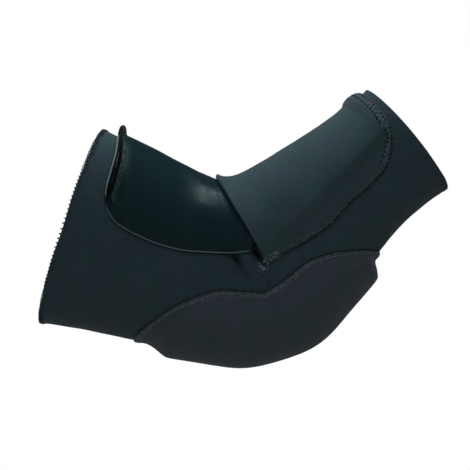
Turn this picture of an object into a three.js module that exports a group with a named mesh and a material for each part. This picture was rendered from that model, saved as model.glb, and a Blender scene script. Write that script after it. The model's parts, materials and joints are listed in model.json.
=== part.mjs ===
// Elbow brace: a pull-on neoprene sleeve, shaped for a bent elbow, with a pad over the point of the elbow
// and a rigid stay in front of it, whose lower half sits in a pocket on the forearm.
// Millimetres, +Z up. The limbs' axes lie in the XZ plane and meet at the origin: the upper arm leaves
// towards -X and the forearm towards +X, both rising. The brace is symmetric in Y.
//
// Every piece lies on one surface, that of the sleeve. A place on it is a pair of numbers:
//   at      how far along, from -1 at the upper cuff through 0 at the elbow to 1 at the forearm cuff
//   around  degrees round the limb, from 0 at the front, the crook of the elbow, to 180 at the back
// and a lift in millimetres off it, outwards.

import * as THREE from 'three';
import { LoftGeometry } from 'three/addons/geometries/LoftGeometry.js';

// The two limbs.
const UPPER_LENGTH = 114.6;         // elbow point to the upper cuff
const FOREARM_LENGTH = 144.2;       // elbow point to the forearm cuff
const UPPER_TILT = 18;              // degrees that the upper arm rises from the horizontal
const FOREARM_TILT = 39.9;          // degrees that the forearm rises
const BEND_RADIUS = 60;             // of the centre line between the two limbs

// Outer size of the sleeve, front to back and side to side.
const UPPER_CUFF_DEPTH = 133.6;
const UPPER_CUFF_WIDTH = 104;
const ELBOW_DEPTH = 114;
const ELBOW_WIDTH = 94;
const FOREARM_CUFF_DEPTH = 83.5;
const FOREARM_CUFF_WIDTH = 76;
const ROUNDNESS = 2.15;             // exponent of a section's outline: 2 is an ellipse, more is squarer

// Thicknesses and clearances.
const NEOPRENE = 3;                 // wall of both sleeves
const GAP = 0.6;                    // clearance between pieces that touch
const STAY_THICKNESS = 2.4;
const POCKET_THICKNESS = 2.6;
const POCKET_EDGE = 1.4;            // thickness where it is sewn down
const POCKET_SHOULDER = 7;          // width over which the panel reaches its full thickness
const POCKET_SLOPE = 7;             // width over which it comes down from the stay to the sleeve
const POCKET_ROOM = 0.8;            // clearance over the stay in it
const POCKET_MARGIN = 1.6;          // how far past the stay's edges it stays up
const PAD_THICKNESS = 8.6;
const PAD_EDGE = 1.6;               // thickness of its sewn edge
const PAD_ROOM = 0.3;               // clearance under the pad, besides GAP
const PAD_SHOULDER = 13;            // width over which the pad swells from its sides

// The stay's two lips: a rounded flare outwards, then a short straight edge. The lower one is in the pocket.
const UPPER_LIP = { radius: 7, angle: 65, edge: 2.4 };
const LOWER_LIP = { radius: 8, angle: 28, edge: 1.2 };

// Fineness of the facets.
const AROUND_STEPS = 40;
const UPPER_STEPS = 16;
const FOREARM_STEPS = 14;
const LIP_STEPS = 4;
const STAY_STEPS = { along: 20, across: 16 };
const POCKET_STEPS = { along: 13, across: 26 };
const PAD_STEPS = { along: 28, across: 16 };
const DENSITY = 1.5;                // above 1, stations crowd towards the elbow

// Sections of the sleeve. lean is how far the section's plane has turned, as a share of the elbow's bend;
// front and back are its reaches from the centre line, as shares of the local depth; width is a share of
// the local width. Local depth and width run straight from the elbow's to the cuff's.
const SECTIONS = [
  { at: -1.00, lean: 0.00, front: 0.500, back: 0.500, width: 1.00 },
  { at: -0.86, lean: 0.00, front: 0.497, back: 0.490, width: 1.00 },
  { at: -0.69, lean: 0.00, front: 0.490, back: 0.481, width: 0.99 },
  { at: -0.51, lean: 0.07, front: 0.482, back: 0.475, width: 0.98 },
  { at: -0.33, lean: 0.21, front: 0.490, back: 0.466, width: 0.98 },
  { at: -0.16, lean: 0.39, front: 0.512, back: 0.484, width: 0.99 },
  { at: 0.00, lean: 0.59, front: 0.514, back: 0.517, width: 1.00 },
  { at: 0.12, lean: 0.77, front: 0.490, back: 0.535, width: 1.01 },
  { at: 0.26, lean: 0.91, front: 0.448, back: 0.536, width: 1.03 },
  { at: 0.40, lean: 0.99, front: 0.435, back: 0.514, width: 1.05 },
  { at: 0.55, lean: 1.00, front: 0.424, back: 0.469, width: 1.04 },
  { at: 0.70, lean: 1.00, front: 0.415, back: 0.447, width: 1.02 },
  { at: 0.82, lean: 1.00, front: 0.415, back: 0.452, width: 1.00 },
  { at: 0.91, lean: 1.00, front: 0.440, back: 0.472, width: 1.00 },
  { at: 0.955, lean: 1.00, front: 0.480, back: 0.488, width: 1.00 },
  { at: 1.00, lean: 1.00, front: 0.506, back: 0.500, width: 1.00 },
];

// Folds of the neoprene, on both sides of the arm. along and across are half-lengths, in at and in degrees;
// depth is a share of the elbow's depth, and a ridge has a negative one.
const FOLDS = [
  { at: 0.000, around: 0, along: 0.130, across: 52, depth: 0.055 },
  { at: 0.010, around: 88, along: 0.036, across: 12, depth: 0.030 },
  { at: 0.112, around: 85, along: 0.020, across: 6, depth: 0.030 },
  { at: 0.072, around: 90, along: 0.040, across: 11, depth: -0.012 },
  { at: -0.230, around: 96, along: 0.110, across: 14, depth: 0.010 },
  { at: -0.520, around: 108, along: 0.160, across: 18, depth: -0.009 },
];

// Where the two sleeves are sewn together, round half the arm.
const ELBOW_SEAM = [
  { around: 0, at: 0.125 },
  { around: 60, at: 0.122 },
  { around: 92, at: 0.112 },
  { around: 108, at: 0.078 },
  { around: 180, at: 0.050 },
];

// Outlines of the three panels, as seen with the arm laid out straight. along runs from 0 at a panel's
// start to 1 at its end, and half is its half-width in degrees; starts and ends bow with around.
const STAY_SIDES = [
  { along: 0.000, half: 64 },
  { along: 0.006, half: 69 },
  { along: 0.017, half: 73.8 },
  { along: 0.033, half: 76.8 },
  { along: 0.064, half: 80.6 },
  { along: 0.101, half: 82.4 },
  { along: 0.155, half: 83.6 },
  { along: 0.225, half: 84.5 },
  { along: 0.295, half: 84.2 },
  { along: 0.367, half: 82.2 },
  { along: 0.440, half: 81.1 },
  { along: 0.503, half: 81 },
  { along: 0.545, half: 81.7 },
  { along: 0.660, half: 78 },
  { along: 0.820, half: 72 },
  { along: 0.940, half: 66 },
  { along: 0.985, half: 56 },
  { along: 1.000, half: 44 },
];
const STAY_START = [
  { around: 0, at: -0.925 },
  { around: 24, at: -0.900 },
  { around: 40, at: -0.869 },
  { around: 51, at: -0.855 },
  { around: 64, at: -0.844 },
];
const STAY_END = 0.912;
const STAY_CORNER = 0.94;           // along, where its lower corners start to round off

const POCKET_SIDES = [
  { along: 0.000, half: 92 },
  { along: 0.040, half: 90.5 },
  { along: 0.115, half: 90.2 },
  { along: 0.158, half: 90.7 },
  { along: 0.215, half: 91.8 },
  { along: 0.337, half: 94.6 },
  { along: 0.400, half: 95.6 },
  { along: 0.573, half: 95.3 },
  { along: 0.687, half: 95.7 },
  { along: 0.779, half: 94.7 },
  { along: 0.823, half: 92.9 },
  { along: 0.871, half: 89.8 },
  { along: 0.932, half: 81.9 },
  { along: 0.978, half: 71.7 },
  { along: 1.000, half: 64 },
];
const POCKET_START = [
  { around: 0, at: 0.020 },
  { around: 15, at: 0.030 },
  { around: 30, at: 0.062 },
  { around: 45, at: 0.092 },
  { around: 64, at: 0.120 },
  { around: 76, at: 0.128 },
  { around: 85, at: 0.132 },
  { around: 92, at: 0.124 },
];
const POCKET_END = [
  { around: 0, at: 0.974 },
  { around: 13, at: 0.971 },
  { around: 32, at: 0.965 },
  { around: 43, at: 0.962 },
  { around: 56, at: 0.954 },
  { around: 64, at: 0.945 },
];

// The pad's half-width is measured from the back.
const PAD_START = -0.490;
const PAD_END = 0.558;
const PAD_SIDES = [
  { along: 0.000, half: 23 },
  { along: 0.012, half: 29 },
  { along: 0.030, half: 36 },
  { along: 0.060, half: 44.6 },
  { along: 0.117, half: 56.3 },
  { along: 0.180, half: 65.3 },
  { along: 0.225, half: 69.7 },
  { along: 0.309, half: 76.3 },
  { along: 0.343, half: 77.8 },
  { along: 0.403, half: 78.5 },
  { along: 0.456, half: 77.7 },
  { along: 0.500, half: 76.6 },
  { along: 0.534, half: 74 },
  { along: 0.565, half: 75.2 },
  { along: 0.634, half: 76.7 },
  { along: 0.698, half: 77.7 },
  { along: 0.744, half: 76.9 },
  { along: 0.784, half: 74 },
  { along: 0.858, half: 65 },
  { along: 0.928, half: 50.5 },
  { along: 0.963, half: 39.6 },
  { along: 0.988, half: 28.5 },
  { along: 1.000, half: 22 },
];

// Its thickness down the middle, as a share of PAD_THICKNESS.
const PAD_PROFILE = [
  { along: 0.000, thick: 0.19 },
  { along: 0.045, thick: 0.19 },
  { along: 0.075, thick: 0.34 },
  { along: 0.130, thick: 0.88 },
  { along: 0.155, thick: 0.93 },
  { along: 0.245, thick: 0.82 },
  { along: 0.306, thick: 0.84 },
  { along: 0.404, thick: 0.97 },
  { along: 0.507, thick: 0.91 },
  { along: 0.604, thick: 1.02 },
  { along: 0.645, thick: 0.99 },
  { along: 0.743, thick: 0.84 },
  { along: 0.797, thick: 0.85 },
  { along: 0.853, thick: 0.92 },
  { along: 0.891, thick: 1.00 },
  { along: 0.910, thick: 0.99 },
  { along: 0.937, thick: 0.62 },
  { along: 0.961, thick: 0.21 },
  { along: 1.000, thick: 0.19 },
];

const radians = THREE.MathUtils.degToRad;
const clamp = THREE.MathUtils.clamp;
const mix = THREE.MathUtils.lerp;
const smooth = (x) => THREE.MathUtils.smoothstep(x, 0, 1);

// A smooth curve through one column of a table, read at a value of its key column.
function read(table, key, column, value) {
  const last = table.length - 1;
  const x = clamp(value, table[0][key], table[last][key]);
  let i = 0;
  while (i < last - 1 && x > table[i + 1][key]) i += 1;
  const slope = (k) => {
    const a = table[Math.max(k - 1, 0)];
    const b = table[Math.min(k + 1, last)];
    return (b[column] - a[column]) / (b[key] - a[key]);
  };
  const span = table[i + 1][key] - table[i][key];
  const t = (x - table[i][key]) / span;
  return (1 + 2 * t) * (1 - t) ** 2 * table[i][column] + t * (1 - t) ** 2 * span * slope(i)
    + t * t * (3 - 2 * t) * table[i + 1][column] + t * t * (t - 1) * span * slope(i + 1);
}

// The centre line: straight down the upper arm, round an arc at the elbow, straight up the forearm.
const BEND = UPPER_TILT + FOREARM_TILT;
const TANGENT = BEND_RADIUS * Math.tan(radians(BEND / 2));
const HALF_ARC = BEND_RADIUS * radians(BEND / 2);
const UPPER_RUN = UPPER_LENGTH - TANGENT + HALF_ARC;
const FOREARM_RUN = FOREARM_LENGTH - TANGENT + HALF_ARC;
const upperAxis = new THREE.Vector3(-Math.cos(radians(UPPER_TILT)), 0, Math.sin(radians(UPPER_TILT)));
const forearmAxis = new THREE.Vector3(Math.cos(radians(FOREARM_TILT)), 0, Math.sin(radians(FOREARM_TILT)));
const upperFront = new THREE.Vector3(Math.sin(radians(UPPER_TILT)), 0, Math.cos(radians(UPPER_TILT)));

// Length along the centre line that one unit of at stands for.
const run = (at) => (at < 0 ? UPPER_RUN : FOREARM_RUN);

// Direction from the back of a section to its front, for a share of the bend.
function frontward(lean) {
  return upperFront.clone().applyAxisAngle(new THREE.Vector3(0, -1, 0), radians(BEND * lean));
}

function centreLine(at) {
  const along = at * run(at);
  if (along < -HALF_ARC) return upperAxis.clone().multiplyScalar(TANGENT - along - HALF_ARC);
  if (along > HALF_ARC) return forearmAxis.clone().multiplyScalar(TANGENT + along - HALF_ARC);
  const centre = upperAxis.clone().multiplyScalar(TANGENT).addScaledVector(upperFront, BEND_RADIUS);
  return centre.addScaledVector(frontward((along + HALF_ARC) / (2 * HALF_ARC)), -BEND_RADIUS);
}

// A point of the sleeve's outer surface, before its folds.
function surface(at, around) {
  const share = Math.abs(at);
  const depth = mix(ELBOW_DEPTH, at < 0 ? UPPER_CUFF_DEPTH : FOREARM_CUFF_DEPTH, share);
  const width = mix(ELBOW_WIDTH, at < 0 ? UPPER_CUFF_WIDTH : FOREARM_CUFF_WIDTH, share);
  const front = read(SECTIONS, 'at', 'front', at) * depth;
  const back = read(SECTIONS, 'at', 'back', at) * depth;
  const half = read(SECTIONS, 'at', 'width', at) * width / 2;
  const bulge = (v) => Math.sign(v) * Math.abs(v) ** (2 / ROUNDNESS);
  const reach = (front - back) / 2 + (front + back) / 2 * bulge(Math.cos(radians(around)));
  const point = centreLine(at).addScaledVector(frontward(read(SECTIONS, 'at', 'lean', at)), reach);
  point.y = -half * bulge(Math.sin(radians(around)));
  return point;
}

// The outward direction of a surface that is given as a function of two numbers.
function outward(place, a, b, stepA, stepB) {
  const alongA = place(a + stepA, b).sub(place(a - stepA, b));
  const alongB = place(a, b + stepB).sub(place(a, b - stepB));
  return alongB.cross(alongA).normalize();
}

const AT_STEP = 0.002;
const AROUND_STEP = 0.2;

function lifted(at, around, lift) {
  return surface(at, around).addScaledVector(outward(surface, at, around, AT_STEP, AROUND_STEP), lift);
}

// Total depth of the folds at a place; around is taken from the front on either side.
function foldDepth(at, around) {
  const side = Math.abs(around > 180 ? around - 360 : around);
  const dents = FOLDS.map((fold) => fold.depth * ELBOW_DEPTH
    * Math.exp(-(((at - fold.at) / fold.along) ** 2) - ((side - fold.around) / fold.across) ** 2));
  return dents.reduce((sum, dent) => sum + dent, 0);
}

// Lift at which a panel touches the sleeve: it spans the dents and rides on the ridges.
const seat = (at, around) => GAP + Math.max(0, -foldDepth(at, around));

// Values of at from one to another, crowded towards the elbow.
function stations(from, to, steps) {
  const warp = (x, power) => Math.sign(x) * Math.abs(x) ** power;
  return Array.from({ length: steps + 1 }, (_, i) =>
    warp(mix(warp(from, 1 / DENSITY), warp(to, 1 / DENSITY), i / steps), DENSITY));
}

const seamAt = (around) => read(ELBOW_SEAM, 'around', 'at', Math.abs(around > 180 ? around - 360 : around));

// A tube of neoprene from one end to the other: its wall's section, carried round the arm.
function sleeve(start, end, steps) {
  const sections = [];
  for (let i = 0; i <= AROUND_STEPS; i += 1) {
    const around = 360 * (i % AROUND_STEPS) / AROUND_STEPS;
    const line = stations(start(around), end(around), steps);
    const outer = line.map((at) => lifted(at, around, -foldDepth(at, around)));
    const inner = line.map((at) => lifted(at, around, -foldDepth(at, around) - NEOPRENE));
    sections.push([...inner, ...outer.reverse()]);
  }
  return new LoftGeometry(sections, { closed: true, capStart: false, capEnd: false });
}

// A panel that lies on the sleeve: rows of closed sections from its start to its end.
// place(along, across) gives its inner face, and thickness(along, across) its wall; across is -1 to 1.
function panel(rows, columns, place, thickness) {
  const step = 1 / 400;
  const sections = rows.map((along) => {
    const inner = [];
    const outer = [];
    for (let j = 0; j <= columns; j += 1) {
      const across = mix(-1, 1, j / columns);
      const point = place(along, across);
      inner.push(point);
      outer.push(point.clone().addScaledVector(outward(place, along, across, step, step), thickness(along, across)));
    }
    return [...outer, ...inner.reverse()];
  });
  return new LoftGeometry(sections, { closed: true, capStart: true, capEnd: true });
}

// Rise of a lip at a distance from its end.
function lipRise(lip, distance) {
  const angle = radians(lip.angle);
  const curve = lip.radius * Math.sin(angle);
  const into = curve + lip.edge * Math.cos(angle) - Math.max(distance, 0);
  if (into <= 0) return 0;
  if (into <= curve) return lip.radius - Math.sqrt(lip.radius ** 2 - into ** 2);
  return lip.radius * (1 - Math.cos(angle)) + (into - curve) * Math.tan(angle);
}
const lipRun = (lip) => lip.radius * Math.sin(radians(lip.angle)) + lip.edge * Math.cos(radians(lip.angle));

const stayStart = (around) => read(STAY_START, 'around', 'at', Math.abs(around));
const stayHalf = (along) => read(STAY_SIDES, 'along', 'half', along);

// Height of the stay's inner face over the sleeve. The upper lip dies out towards its corners.
const LIP_FADES_FROM = 64;
const LIP_FADES_OVER = 18;
function stayLift(at, around) {
  const upper = lipRise(UPPER_LIP, (at - stayStart(around)) * UPPER_RUN);
  const lower = lipRise(LOWER_LIP, (STAY_END - at) * FOREARM_RUN);
  return seat(at, around) + upper * (1 - smooth((Math.abs(around) - LIP_FADES_FROM) / LIP_FADES_OVER)) + lower;
}

function stayPlace(along, across) {
  const around = across * stayHalf(along);
  const at = mix(stayStart(around), STAY_END, along);
  return lifted(at, around, stayLift(at, around));
}

// Rows of a panel that goes past the elbow, with extra rows in the lips at its ends.
function panelRows(start, end, steps, startLip, endLip) {
  const rows = stations(start, end, steps).map((at) => (at - start) / (end - start));
  const atStart = startLip / run(start) / (end - start);
  const atEnd = 1 - endLip / run(end) / (end - start);
  const middle = rows.filter((along) => along > atStart && along < atEnd);
  const lip = (from, to) => Array.from({ length: LIP_STEPS }, (_, i) => mix(from, to, i / LIP_STEPS));
  return [...lip(0, atStart), atStart, ...middle, atEnd, ...lip(1, atEnd).reverse()];
}

function stay() {
  const rows = panelRows(stayStart(0), STAY_END, STAY_STEPS.along, lipRun(UPPER_LIP), lipRun(LOWER_LIP));
  return panel(rows, STAY_STEPS.across, stayPlace, () => STAY_THICKNESS);
}

// The pocket clears the stay under it, and comes down to the sleeve past the stay's edges.
const pocketHalf = (along) => read(POCKET_SIDES, 'along', 'half', along);
function pocketPlace(along, across) {
  const around = across * pocketHalf(along);
  const side = Math.abs(around);
  const start = read(POCKET_START, 'around', 'at', side);
  const at = mix(start, read(POCKET_END, 'around', 'at', side), along);
  const limbRadius = (mix(ELBOW_WIDTH, FOREARM_CUFF_WIDTH, at) + mix(ELBOW_DEPTH, FOREARM_CUFF_DEPTH, at)) / 4;
  const beyondEnd = (at - STAY_END) * FOREARM_RUN - POCKET_MARGIN;
  const stayAlong = (at - stayStart(side)) / (STAY_END - stayStart(side));
  const beyondSide = radians(side - stayHalf(Math.min(stayAlong, STAY_CORNER))) * limbRadius - POCKET_MARGIN;
  const cover = 1 - smooth(Math.max(beyondEnd, beyondSide, 0) / POCKET_SLOPE);
  const reachBack = STAY_THICKNESS * Math.sin(radians(LOWER_LIP.angle)) + GAP;
  const top = STAY_THICKNESS + POCKET_ROOM + lipRise(LOWER_LIP, (STAY_END - at) * FOREARM_RUN - reachBack);
  return lifted(at, around, seat(at, side) + cover * top);
}

// How far a wall has reached its full thickness at a distance from its edge.
const shoulder = (distance, width) => 1 - (1 - clamp(distance / width, 0, 1)) ** 2;

function stayPocket() {
  const length = FOREARM_RUN * (POCKET_END[0].at - POCKET_START[0].at);
  const thickness = (along, across) => {
    const fromSide = radians(pocketHalf(along) * (1 - Math.abs(across))) * ELBOW_WIDTH / 2;
    const fromEnd = (1 - along) * length;
    return mix(POCKET_EDGE, POCKET_THICKNESS, shoulder(Math.min(fromSide, fromEnd), POCKET_SHOULDER));
  };
  const slope = POCKET_SLOPE + lipRun(LOWER_LIP);
  const rows = panelRows(POCKET_START[0].at, POCKET_END[0].at, POCKET_STEPS.along, GAP, slope);
  return panel(rows, POCKET_STEPS.across, pocketPlace, thickness);
}

function padPlace(along, across) {
  const at = mix(PAD_START, PAD_END, along);
  const around = 180 + across * read(PAD_SIDES, 'along', 'half', along);
  return lifted(at, around, seat(at, around) + PAD_ROOM);
}

function elbowPad() {
  const thickness = (along, across) => {
    const half = radians(read(PAD_SIDES, 'along', 'half', along));
    const fromSide = half * (1 - Math.abs(across)) * ELBOW_WIDTH / 2;
    const full = PAD_THICKNESS * read(PAD_PROFILE, 'along', 'thick', along);
    return mix(PAD_EDGE, full, shoulder(fromSide, PAD_SHOULDER));
  };
  const rows = panelRows(PAD_START, PAD_END, PAD_STEPS.along, PAD_SHOULDER, PAD_SHOULDER);
  return panel(rows, PAD_STEPS.across, padPlace, thickness);
}

const upperEnd = (around) => seamAt(around) - GAP / 2 / FOREARM_RUN;
const forearmStart = (around) => seamAt(around) + GAP / 2 / FOREARM_RUN;

const pieces = [
  { name: 'upper_sleeve', geometry: sleeve(() => -1, upperEnd, UPPER_STEPS),
    color: 0x1e2629, roughness: 0.95, metalness: 0 },
  { name: 'forearm_sleeve', geometry: sleeve(forearmStart, () => 1, FOREARM_STEPS),
    color: 0x1e2629, roughness: 0.95, metalness: 0 },
  { name: 'elbow_pad', geometry: elbowPad(), color: 0x20212b, roughness: 1, metalness: 0 },
  { name: 'stay_pocket', geometry: stayPocket(), color: 0x222b2e, roughness: 0.95, metalness: 0 },
  { name: 'stay', geometry: stay(), color: 0x0a1114, roughness: 0.25, metalness: 0 },
];

const brace = new THREE.Group();
for (const { name, geometry, color, roughness, metalness } of pieces) {
  const mesh = new THREE.Mesh(geometry, new THREE.MeshStandardMaterial({ color, roughness, metalness }));
  mesh.name = name;
  brace.add(mesh);
}

export default brace;
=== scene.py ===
"""Elbow brace: a neoprene sleeve for a bent arm, its pad, its pocket and the rigid stay in it."""
import json
import logging
import math
from dataclasses import dataclass, field
from enum import Enum
from typing import Callable, NamedTuple, Sequence

import bmesh
import bpy
import numpy as np
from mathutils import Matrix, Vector

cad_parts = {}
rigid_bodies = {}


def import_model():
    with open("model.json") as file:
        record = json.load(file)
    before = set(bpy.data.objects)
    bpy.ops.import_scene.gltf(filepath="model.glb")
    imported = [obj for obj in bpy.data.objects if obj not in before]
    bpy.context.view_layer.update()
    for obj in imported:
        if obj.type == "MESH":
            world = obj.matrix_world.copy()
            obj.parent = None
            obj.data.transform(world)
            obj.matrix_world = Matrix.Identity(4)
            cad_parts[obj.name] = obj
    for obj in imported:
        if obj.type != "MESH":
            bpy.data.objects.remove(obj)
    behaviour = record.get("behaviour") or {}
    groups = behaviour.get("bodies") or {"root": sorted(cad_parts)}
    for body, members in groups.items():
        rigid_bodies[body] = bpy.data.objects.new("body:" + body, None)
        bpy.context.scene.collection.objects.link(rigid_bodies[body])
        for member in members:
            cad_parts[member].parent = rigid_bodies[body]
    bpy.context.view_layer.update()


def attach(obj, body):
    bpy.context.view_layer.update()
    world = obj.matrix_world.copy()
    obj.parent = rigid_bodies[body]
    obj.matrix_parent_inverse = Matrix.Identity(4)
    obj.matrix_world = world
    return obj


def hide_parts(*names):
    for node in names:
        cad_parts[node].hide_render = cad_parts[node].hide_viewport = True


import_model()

MM = 0.001
BODY = "root"
FACE_STEP = 1 / 400
SEAM_STEP = 1 / 300
SHARP_EDGE = math.radians(52)
LOG = logging.getLogger("elbow_brace")

Array = np.ndarray
Place = Callable[[Array, Array], Array]
Socket = bpy.types.NodeSocket
Tint = tuple[float, float, float]
Edges = tuple[float, float, float, float]


def smooth(x: Array | float) -> Array:
    """Ease from 0 to 1 as x goes from 0 to 1."""
    t = np.clip(x, 0.0, 1.0)
    return t * t * (3.0 - 2.0 * t)


def mix(a: Array | float, b: Array | float, share: Array | float) -> Array:
    """Blend a into b by a share."""
    return a + (b - a) * share


def waver(spots: Array, scale: float, seed: float) -> Array:
    """Soft irregular height between about -1 and 1, from places in space.

    Args:
        spots: Places, in millimetres, as rows of three.
        scale: Length of a typical swell, in millimetres.
        seed: Any number; another one gives another pattern.

    Returns:
        The height at each place.
    """
    rng = np.random.default_rng(int(seed * 1000))
    total = np.zeros(spots.shape[:-1])
    for size in (1.0, 1.0, 1.0, 0.8, 0.8, 0.6, 0.6, 0.45, 0.45):
        heading = rng.normal(size=3)
        heading /= np.linalg.norm(heading)
        total = total + size * np.sin(spots @ heading * math.tau / (scale * size) + rng.uniform(0, math.tau))
    return total / 2.6


def ring(around: Array, radius: float) -> Array:
    """Places on a circle, in millimetres, to read an even pattern from."""
    turn = np.radians(around)
    return np.stack([radius * np.cos(turn), radius * np.sin(turn), 0.0 * turn], axis=-1)


class Curve:
    """A smooth curve through points whose first column rises."""

    def __init__(self, points: Sequence[tuple[float, float]]) -> None:
        """Keep the points and work out the slope at each.

        Args:
            points: Pairs (x, y), in order of x.
        """
        self.x, self.y = np.array(points, dtype=float).T
        ahead, behind = np.r_[1:len(self.x), len(self.x) - 1], np.r_[0, 0:len(self.x) - 1]
        self.slope = (self.y[ahead] - self.y[behind]) / (self.x[ahead] - self.x[behind])

    def __call__(self, value: Array | float) -> Array:
        """Read the curve at a value, held inside the table.

        Args:
            value: Where to read it.

        Returns:
            The height there.
        """
        x = np.clip(value, self.x[0], self.x[-1])
        i = np.clip(np.searchsorted(self.x, x, side="right") - 1, 0, len(self.x) - 2)
        span = self.x[i + 1] - self.x[i]
        t = (x - self.x[i]) / span
        start = (1 + 2 * t) * (1 - t) ** 2 * self.y[i] + t * (1 - t) ** 2 * span * self.slope[i]
        return start + t * t * (3 - 2 * t) * self.y[i + 1] + t * t * (t - 1) * span * self.slope[i + 1]


class Section(NamedTuple):
    """One section of the sleeve: where, how far its plane has turned, and its reaches as shares."""

    at: float
    lean: float
    front: float
    back: float
    width: float


class Fold(NamedTuple):
    """A fold of the neoprene; depth is a share of the elbow's depth, negative for a ridge."""

    at: float
    around: float
    along: float
    across: float
    depth: float
    slant: float


SECTIONS = (
    Section(-1.00, 0.00, 0.500, 0.500, 1.00),
    Section(-0.86, 0.00, 0.497, 0.490, 1.00),
    Section(-0.69, 0.00, 0.490, 0.481, 0.99),
    Section(-0.51, 0.07, 0.482, 0.475, 0.98),
    Section(-0.33, 0.21, 0.490, 0.466, 0.98),
    Section(-0.16, 0.39, 0.512, 0.484, 0.99),
    Section(0.00, 0.59, 0.514, 0.517, 1.00),
    Section(0.12, 0.77, 0.490, 0.535, 1.01),
    Section(0.26, 0.91, 0.448, 0.536, 1.03),
    Section(0.40, 0.99, 0.435, 0.514, 1.05),
    Section(0.55, 1.00, 0.424, 0.469, 1.04),
    Section(0.70, 1.00, 0.415, 0.447, 1.02),
    Section(0.82, 1.00, 0.415, 0.452, 1.00),
    Section(0.91, 1.00, 0.440, 0.472, 1.00),
    Section(0.955, 1.00, 0.480, 0.488, 1.00),
    Section(1.00, 1.00, 0.506, 0.500, 1.00),
)

FOLDS = (
    Fold(0.000, 0, 0.130, 52, 0.055, 0.0),
    Fold(0.004, 87, 0.030, 12, 0.020, 0.0016),
    Fold(0.020, 87, 0.011, 8, 0.045, 0.0008),
    Fold(0.012, 84, 0.016, 3.0, 0.045, 0.0),
    Fold(0.115, 82.8, 0.018, 5.0, 0.130, 0.0),
    Fold(0.064, 88, 0.022, 6, -0.016, 0.0),
    Fold(-0.230, 96, 0.110, 14, 0.010, 0.0),
    Fold(-0.520, 108, 0.160, 18, -0.009, 0.0),
)


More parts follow.
